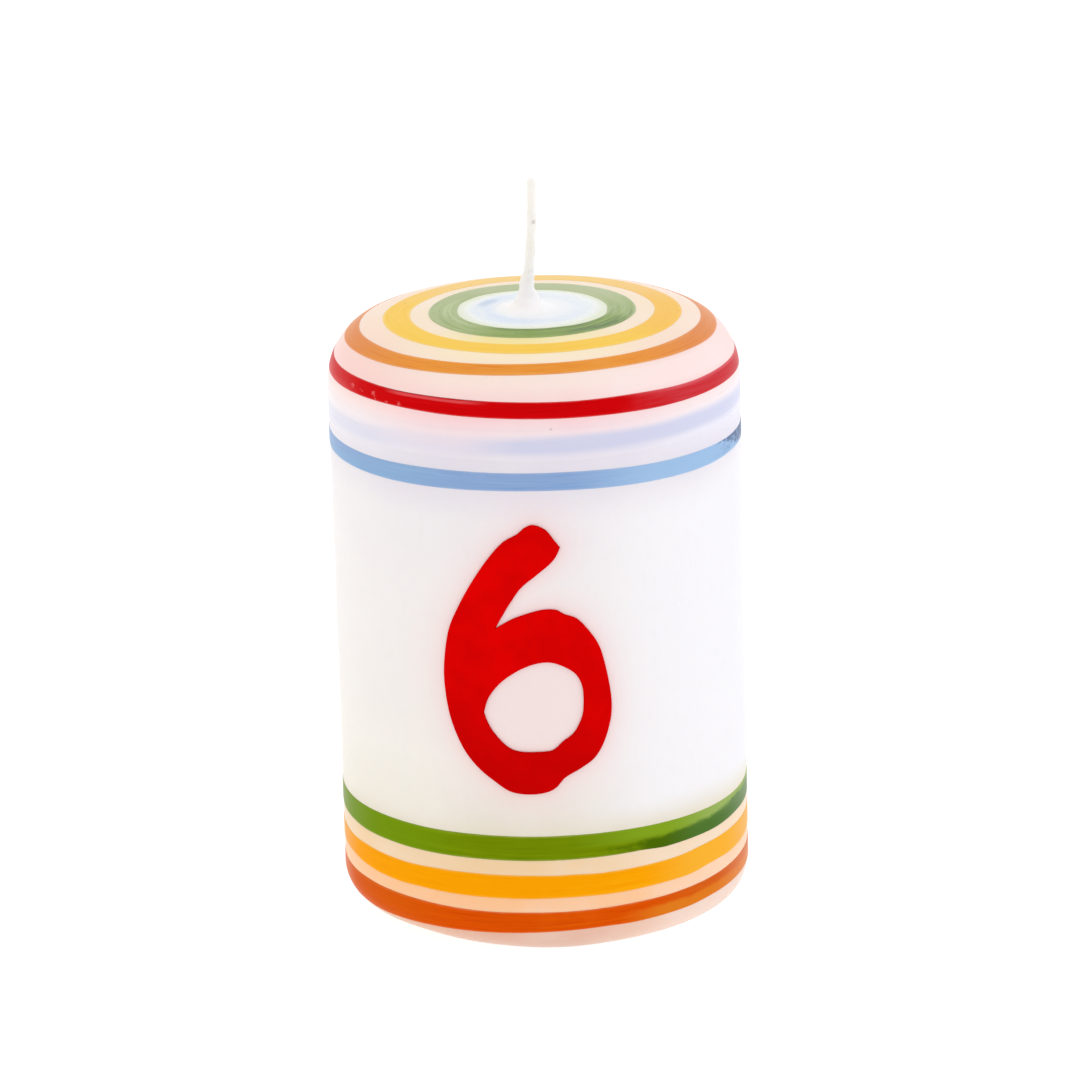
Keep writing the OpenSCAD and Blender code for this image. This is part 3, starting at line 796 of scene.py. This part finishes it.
# painted highlight below the raised upper edge at the front left, with a painted shadow line along that edge
edge_highlight = m.mul(m.band(ang, -44.0, -36.0, -18.0, -8.0), m.band(m.add(v, m.mul(m.add(fuzz, -0.5), 0.12)), 0.06, 0.12, 0.20, 0.30))
col = m.mix(m.mul(edge_highlight, 0.6), col, lin(232, 96, 100))
shade = m.mul(m.band(ang, -50.0, -40.0, -16.0, -8.0), m.smooth(v, 0.07, 0.02))
col = m.mix(m.mul(shade, 0.8), col, lin(120, 40, 44))
# paler pink at the left end: partly worn paint, partly a painted sheen
wear_and_sheen = m.mul(m.smooth(m.add(ang, m.mul(fuzz, 10.0)), -46.0, -62.0), m.smooth(ang, -100.0, -85.0))
col = m.mix(m.mul(wear_and_sheen, m.add(0.25, m.mul(m.smooth(v, 0.45, 0.95), 0.5))), col, lin(220, 84, 88))
chip = m.noise(m.xyz, 1.3, 3.0, 0.6)
rough_ang = m.add(ang, m.mul(m.add(chip, -0.5), 5.0))
rough_arc = m.add(arc, m.mul(m.add(m.noise(m.vec(m.y, m.z, m.x), 1.7, 3.0, 0.6), -0.5), 1.3))
marks = spot(m, rough_ang, rough_arc, -57.5, 32.7, 1.4, 0.30)
for phi0, s0, wphi, ws in ((-52.0, 32.9, 1.1, 0.16), (-46.8, 32.8, 0.75, 0.55), (-45.6, 33.5, 0.9, 0.18), (-41.0, 33.4, 0.8, 0.14), (-36.6, 33.3, 0.8, 0.6)):
    marks = m.math("MAXIMUM", marks, spot(m, rough_ang, rough_arc, phi0, s0, wphi, ws))
marks = m.math("MAXIMUM", marks, m.mul(m.smooth(fuzz, 0.66, 0.72), m.band(ang, -66.0, -58.0, -40.0, -34.0)))
col = m.mix(m.mul(marks, 0.42), col, lin(240, 140, 138))
place(ring, "shoulder_red_ring", done(m, col))

# soft lavender band under the shoulder
ring = film("lavender_wash", edge(35.5, -0.2, 0, 61, 0.08), edge(40.6, 0, 0, 62, 0.08), 0.03, lip=1.2, thin_edge=True)
m = Mat("lavender_wax_wash")
arc, ang, v = m.attr("arc"), m.angle(), m.attr("across")
cl = m.noise(m.vec(m.mul(m.x, 0.07), m.mul(m.y, 0.07), m.mul(arc, 0.55)), 1.0, 1.0, 0.5)
right = m.band(ang, -20.0, 2.0, 88.0, 120.0)
left = m.band(ang, -120.0, -85.0, -50.0, -32.0)
mid = m.add(m.add(v, m.mul(m.add(cl, -0.5), 0.16)), m.mul(left, -0.12))
body = m.band(mid, 0.12, 0.40, 0.62, 0.90)
strength = m.add(m.add(0.22, m.mul(right, 0.66)), m.mul(left, 0.22))
col = m.mix(m.mul(body, strength), coat_colour(m, arc, ang), lin(204, 206, 229))
done(m, col)
m.put(m.add(0.22, m.mul(cl, 0.12)), m.b.inputs["Roughness"])
m.wax(spec=0.14, sss=0.0)
place(ring, "lavender_band", m)

# blue ring
ring = film("blue_side_ring", edge(42.0, 0.30, -0.95, 71, 0.06), edge(44.8, 0.22, -0.65, 72, 0.06), 0.07)
m, col = paint_material("blue_wax_paint", (138, 166, 208), (156, 182, 220), (118, 152, 200), (196, 206, 228), 5.0, spec=0.03)
arc, ang, v = m.attr("arc"), m.angle(), m.attr("across")
violet = m.mul(m.band(ang, -145.0, -110.0, -66.0, -30.0), m.smooth(v, 0.75, 0.2))
col = m.mix(m.mul(m.band(ang, -160.0, -110.0, -40.0, -12.0), 0.6), col, lin(142, 178, 212))
col = m.mix(m.mul(m.band(ang, 8.0, 40.0, 110.0, 160.0), 0.8), col, lin(162, 194, 226))
col = m.mix(m.mul(violet, 0.30), col, lin(156, 168, 212))
rag = m.noise(m.vec(m.mul(m.x, 0.7), m.mul(m.y, 0.7), m.mul(arc, 1.8)), 1.0, 5.0, 0.75)
reach = m.add(m.add(m.mul(m.add(ang, -74.0), 0.055), m.mul(v, -1.0)), m.mul(m.add(rag, -0.5), 1.3))
patch = m.mul(m.mul(m.smooth(reach, -0.55, -0.2), m.smooth(ang, 124.0, 92.0)), m.smooth(rag, 0.30, 0.5))
haze = m.mul(m.band(m.add(ang, m.mul(m.add(rag, -0.5), 14.0)), 60.0, 74.0, 96.0, 122.0), m.mul(m.smooth(rag, 0.36, 0.6), m.smooth(v, 1.0, 0.7)))
col = m.mix(m.mul(haze, 0.5), col, lin(120, 144, 184))
col = m.mix(m.mul(patch, m.add(0.66, m.mul(m.smooth(ang, 70.0, 84.0), 0.16))), col, lin(74, 88, 120))
place(ring, "blue_ring", done(m, col))

# rings at the base; the lower two run up a little to the right
ring = film("green_base_ring", edge(97.33, 0.03, -0.49, 81, 0.05) + drift((-0.13, -110, -70, 8, 20), (0.27, 14, 38, 70, 110)),
            edge(101.12, 0.0, -0.24, 82, 0.06) + drift((-0.16, -110, -85, -66, -56), (0.38, 30, 40, 56, 76)), 0.08)
m, col = paint_material("green_wax_paint_base", (110, 134, 0), (128, 152, 8), (94, 122, 0), (170, 180, 90), 6.0, spec=0.015)
arc, ang, v = m.attr("arc"), m.angle(), m.attr("across")
tuft = m.noise(m.vec(m.mul(m.x, 0.3), m.mul(m.y, 0.3), m.mul(arc, 0.6)), 1.0, 4.0, 0.65)
wedge = m.add(m.add(m.mul(m.add(ang, -30.0), 0.0085), v), m.mul(m.add(tuft, -0.5), 0.36))
start = m.smooth(m.add(ang, m.mul(m.add(tuft, -0.5), 26.0)), 20.0, 34.0)
deep = m.mul(m.mul(m.smooth(wedge, 0.48, 0.70), start), m.smooth(m.add(ang, m.mul(tuft, 30.0)), 160.0, 100.0))
upper = m.mul(m.smooth(v, 0.70, 0.34), m.smooth(ang, 150.0, 105.0))
col = m.mix(m.mul(m.band(ang, -110.0, -75.0, -40.0, -14.0), 0.6), col, lin(114, 150, 12))
# painted sheen: paler towards the left side
col = m.mix(m.mul(m.band(ang, -106.0, -86.0, -66.0, -50.0), 0.34), col, lin(130, 157, 70))
col = m.mix(m.mul(m.band(ang, -102.0, -90.0, -76.0, -64.0), 0.14), col, lin(172, 176, 136))
col = m.mix(m.mul(m.mul(upper, m.smooth(ang, 6.0, 36.0)), 0.85), col, lin(130, 163, 32))
col = m.mix(m.mul(m.mul(upper, m.smooth(ang, 38.0, 66.0)), 0.8), col, lin(158, 180, 104))
tone = m.mix(m.smooth(ang, 36.0, 54.0), lin(62, 94, 2), lin(70, 110, 46))
tone = m.mix(m.smooth(ang, 56.0, 86.0), tone, lin(116, 140, 100))
col = m.mix(m.mul(deep, 0.88), col, tone)
place(ring, "base_green_ring", done(m, col))

ring = film("amber_base_ring", edge(103.55, -0.22, 0.47, 91, 0.06) + drift((0.16, -110, -85, -66, -56), (-0.12, -40, -28, -2, 8), (0.24, 10, 20, 42, 54)),
            edge(107.06, -0.05, 0.51, 92, 0.06) + drift((-0.26, -110, -85, -68, -58), (0.18, -60, -50, -42, -32), (0.18, 10, 28, 46, 54), (-0.16, 50, 56, 60, 68)), 0.08)
m, col = paint_material("amber_wax_paint", (248, 160, 0), (250, 172, 14), (242, 148, 0), (248, 190, 96), 8.0, spec=0.015)
ang = m.angle()
col = m.mix(m.mul(m.band(ang, 30.0, 52.0, 110.0, 150.0), 0.7), col, lin(244, 180, 56))
# painted sheen: paler on both sides
pale = m.math("MAXIMUM", m.band(ang, -108.0, -92.0, -74.0, -60.0), m.band(ang, 62.0, 80.0, 96.0, 118.0))
col = m.mix(m.mul(pale, 0.24), col, lin(228, 184, 130))
place(ring, "base_amber_ring", done(m, col))

ring = film("orange_base_ring", edge(109.26, -0.22, 0.75, 101, 0.06) + drift((0.14, -110, -85, -66, -56), (-0.19, -14, 2, 24, 44)),
            edge(112.39, -1.05, -0.7, 102, 0.05) + drift((0.20, 18, 30, 46, 58)), 0.08)
m, col = paint_material("orange_wax_paint_base", (218, 80, 0), (226, 98, 8), (202, 64, 0), (236, 150, 100), 9.0, spec=0.015)
ang, v = m.angle(), m.attr("across")
two = m.mul(m.smooth(m.add(v, m.mul(m.add(m.noise(m.xyz, 0.3), -0.5), 0.3)), 0.30, 0.55), m.band(ang, 22.0, 40.0, 90.0, 150.0))
col = m.mix(m.mul(two, 0.75), col, lin(221, 130, 32))
far = m.mul(m.band(ang, 30.0, 55.0, 90.0, 150.0), m.smooth(v, 0.6, 0.2))
col = m.mix(m.mul(far, 0.5), col, lin(200, 100, 28))
col = m.mix(m.mul(m.band(ang, -100.0, -75.0, -45.0, -18.0), 0.5), col, lin(212, 96, 8))
# painted sheen: paler on both sides
pale = m.math("MAXIMUM", m.mul(m.band(ang, -108.0, -92.0, -76.0, -64.0), 0.7), m.band(ang, 56.0, 80.0, 96.0, 122.0))
col = m.mix(m.mul(pale, 0.38), col, lin(228, 158, 112))
place(ring, "base_orange_ring", done(m, col))

# numeral
six = numeral_mesh("red_numeral")
m = Mat("red_wax_sheet")
cl = m.noise(m.xyz, 0.16, 4.0, 0.6)
gr = m.noise(m.vec(m.x, m.y, m.mul(m.z, 0.6)), 1.2, 4.0, 0.6)
col = m.mix(m.smooth(cl, 0.35, 0.68), lin(210, 0, 0), lin(224, 0, 0))
# painted shade: darker towards the bottom
col = m.mix(m.mul(m.smooth(m.z, 46.0, 26.0), 0.5), col, lin(172, 0, 0))
col = m.mix(m.mul(m.smooth(gr, 0.55, 0.8), 0.35), col, lin(200, 0, 1))
col = m.mix(m.mul(m.smooth(m.attr("edge"), 0.20, 0.02), 0.25), col, lin(180, 0, 4))
done(m, col)
m.put(m.add(0.30, m.mul(gr, 0.16)), m.b.inputs["Roughness"])
m.wax(spec=0.012, sss=0.0)
m.bump(m.add(cl, m.mul(gr, 0.4)), 0.05, 0.35)
place(six, "numeral", m)

# wick
wick = wick_mesh("braided_wick")
m = Mat("waxed_cotton_braid")
sp = m.noise(m.vec(m.mul(m.x, 2.0), m.mul(m.y, 2.0), m.z), 1.0, 4.0, 0.6)
fib = m.noise(m.vec(m.mul(m.x, 6.0), m.mul(m.y, 6.0), m.mul(m.z, 1.2)), 1.0, 3.0, 0.6)
col = m.mix(m.smooth(sp, 0.35, 0.7), lin(255, 252, 249), lin(253, 249, 243))
col = m.mix(m.mul(m.smooth(fib, 0.45, 0.7), 0.2), col, lin(244, 238, 229))
fleck = m.mul(m.band(m.z, 103.0, 103.25, 103.55, 103.8), m.mul(m.band(m.x, 0.25, 0.45, 0.75, 0.95), m.smooth(m.y, 0.0, -0.3)))
col = m.mix(m.mul(fleck, 0.42), col, lin(166, 158, 144))
done(m, col)
m.put(m.add(0.35, m.mul(fib, 0.3)), m.b.inputs["Roughness"])
m.wax(spec=0.3, sss=0.15, depth_mm=0.4)
m.bump(fib, 0.05, 0.4)
place(wick, "wick", m)

# core and tab keep their exact shape
m = Mat("pressed_core_wax")
cl = m.noise(m.xyz, 0.12, 4.0, 0.6)
gr = m.noise(m.xyz, 1.4, 5.0, 0.65)
col = m.mix(m.smooth(cl, 0.35, 0.7), lin(246, 240, 228), lin(239, 231, 216))
col = m.mix(m.mul(m.smooth(gr, 0.5, 0.75), 0.3), col, lin(228, 219, 203))
done(m, col)
m.put(m.add(0.42, m.mul(gr, 0.2)), m.b.inputs["Roughness"])
m.wax(spec=0.4, sss=0.1)
m.bump(gr, 0.08, 0.5)
m.finish(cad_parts["wax_core"])

m = Mat("tinned_sheet")
spin = m.noise(m.vec(m.math("POWER", m.add(m.mul(m.x, m.x), m.mul(m.y, m.y)), 0.5), 0.0, m.mul(m.z, 0.2)), 6.0, 3.0, 0.6)
dull = m.noise(m.xyz, 0.25, 4.0, 0.6)
col = m.mix(m.smooth(dull, 0.4, 0.7), lin(206, 206, 208), lin(186, 186, 190))
done(m, col)
m.b.inputs["Metallic"].default_value = 1.0
m.put(m.add(0.25, m.mul(spin, 0.25)), m.b.inputs["Roughness"])
m.bump(spin, 0.02, 0.3)
m.finish(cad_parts["wick_tab"])

# ------------------------------------------------------------------ floor, light, camera
sc = bpy.context.scene
floor_me = bpy.data.meshes.new("floor")
n, w = 24, 6.0
pts = [((i / n - 0.5) * w, (j / n - 0.5) * w, 0.0) for j in range(n + 1) for i in range(n + 1)]
floor_me.from_pydata(pts, [], [(j * (n + 1) + i, j * (n + 1) + i + 1, (j + 1) * (n + 1) + i + 1, (j + 1) * (n + 1) + i)
                               for j in range(n) for i in range(n)])
floor = bpy.data.objects.new("floor", floor_me)
sc.collection.objects.link(floor)
m = Mat("floor_white")
m.b.inputs["Base Color"].default_value = (0.3, 0.3, 0.3, 1)
m.b.inputs["Emission Color"].default_value = (1, 1, 1, 1)
m.b.inputs["Emission Strength"].default_value = 0.84          # a light table
m.b.inputs["Roughness"].default_value = 0.9
m.b.inputs["Specular IOR Level"].default_value = 0.0
m.finish(floor)

# a white tent: bright behind and above, a little dimmer behind the camera, and a touch brighter on the right
world = bpy.data.worlds.new("studio")
world.use_nodes = True
wt = world.node_tree
bg = wt.nodes["Background"]
bg.inputs["Color"].default_value = (1, 1, 1, 1)


def wnode(kind, **kw):
    n = wt.nodes.new(kind)
    for k, v in kw.items():
        setattr(n, k, v)
    return n


ray = wnode("ShaderNodeTexCoord").outputs["Generated"]
front = wnode("ShaderNodeVectorMath", operation="DOT_PRODUCT")
front.inputs[1].default_value = (0.07, -0.94, 0.33)
wt.links.new(ray, front.inputs[0])
dim = wnode("ShaderNodeMapRange", interpolation_type="SMOOTHSTEP")
for k, v in (("From Min", 0.15), ("From Max", 0.95), ("To Min", 1.07), ("To Max", 0.85)):
    dim.inputs[k].default_value = v
wt.links.new(front.outputs["Value"], dim.inputs["Value"])
side = wnode("ShaderNodeVectorMath", operation="DOT_PRODUCT")
side.inputs[1].default_value = (0.05, 0.0, 0.0)
wt.links.new(ray, side.inputs[0])
total = wnode("ShaderNodeMath", operation="ADD")
wt.links.new(dim.outputs["Result"], total.inputs[0])
wt.links.new(side.outputs["Value"], total.inputs[1])
wt.links.new(total.outputs[0], bg.inputs["Strength"])
cool = wnode("ShaderNodeMapRange", interpolation_type="SMOOTHSTEP")
for k, v in (("From Min", -0.02), ("From Max", 0.05)):
    cool.inputs[k].default_value = v
wt.links.new(side.outputs["Value"], cool.inputs["Value"])
tint = wnode("ShaderNodeMix", data_type="RGBA")
tint.inputs[6].default_value = (1.0, 0.995, 0.985, 1)
tint.inputs[7].default_value = (0.97, 1.005, 1.09, 1)
wt.links.new(cool.outputs["Result"], tint.inputs[0])
wt.links.new(tint.outputs[2], bg.inputs["Color"])
sc.world = world


def softbox(name, at, size, power, colour):
    d = bpy.data.lights.new(name, "AREA")
    d.shape = "RECTANGLE"
    d.size, d.size_y = size
    d.energy = power
    d.color = colour
    ob = bpy.data.objects.new(name, d)
    sc.collection.objects.link(ob)
    ob.location = at
    ob.rotation_euler = (Vector((0, 0, 0.05)) - Vector(at)).to_track_quat("-Z", "Y").to_euler()
    ob.visible_camera = False
    return ob


softbox("left_soft", (-0.75, 0.10, 0.35), (0.6, 0.7), 0.15, (1.0, 0.985, 0.96))
softbox("right_soft", (0.75, 0.10, 0.35), (0.6, 0.7), 0.3, (0.96, 0.98, 1.0))

sc.view_settings.view_transform = "Standard"
sc.view_settings.look = "None"

# camera: 18 degrees above the table, 4 degrees to the right of the numeral, held very slightly askew
elev, azim, roll, dist = 18.13, 4.0, 1.56, 0.8313
aim = Vector((0, 0, 0.04386))
e, a, ro = math.radians(elev), math.radians(azim), math.radians(roll)
back = Vector((math.sin(a) * math.cos(e), -math.cos(a) * math.cos(e), math.sin(e)))
level = Vector((math.cos(a), math.sin(a), 0))
up = back.cross(level)
right_c = level * math.cos(ro) - up * math.sin(ro)
up_c = level * math.sin(ro) + up * math.cos(ro)
focal = 5556.2
look = (-back * focal + up_c * 67.5 - right_c * 0.09).normalized()
up_n = (up_c - look * up_c.dot(look)).normalized()
right_n = look.cross(up_n)
cam_d = bpy.data.cameras.new("camera")
cam_d.sensor_width = 36.0
cam_d.lens = focal * 36.0 / 1080.0
cam = bpy.data.objects.new("camera", cam_d)
sc.collection.objects.link(cam)
rot = Matrix((right_n, up_n, -look)).transposed()
cam.matrix_world = Matrix.Translation(aim + back * dist) @ rot.to_4x4()
sc.camera = cam

bpy.context.view_layer.update()
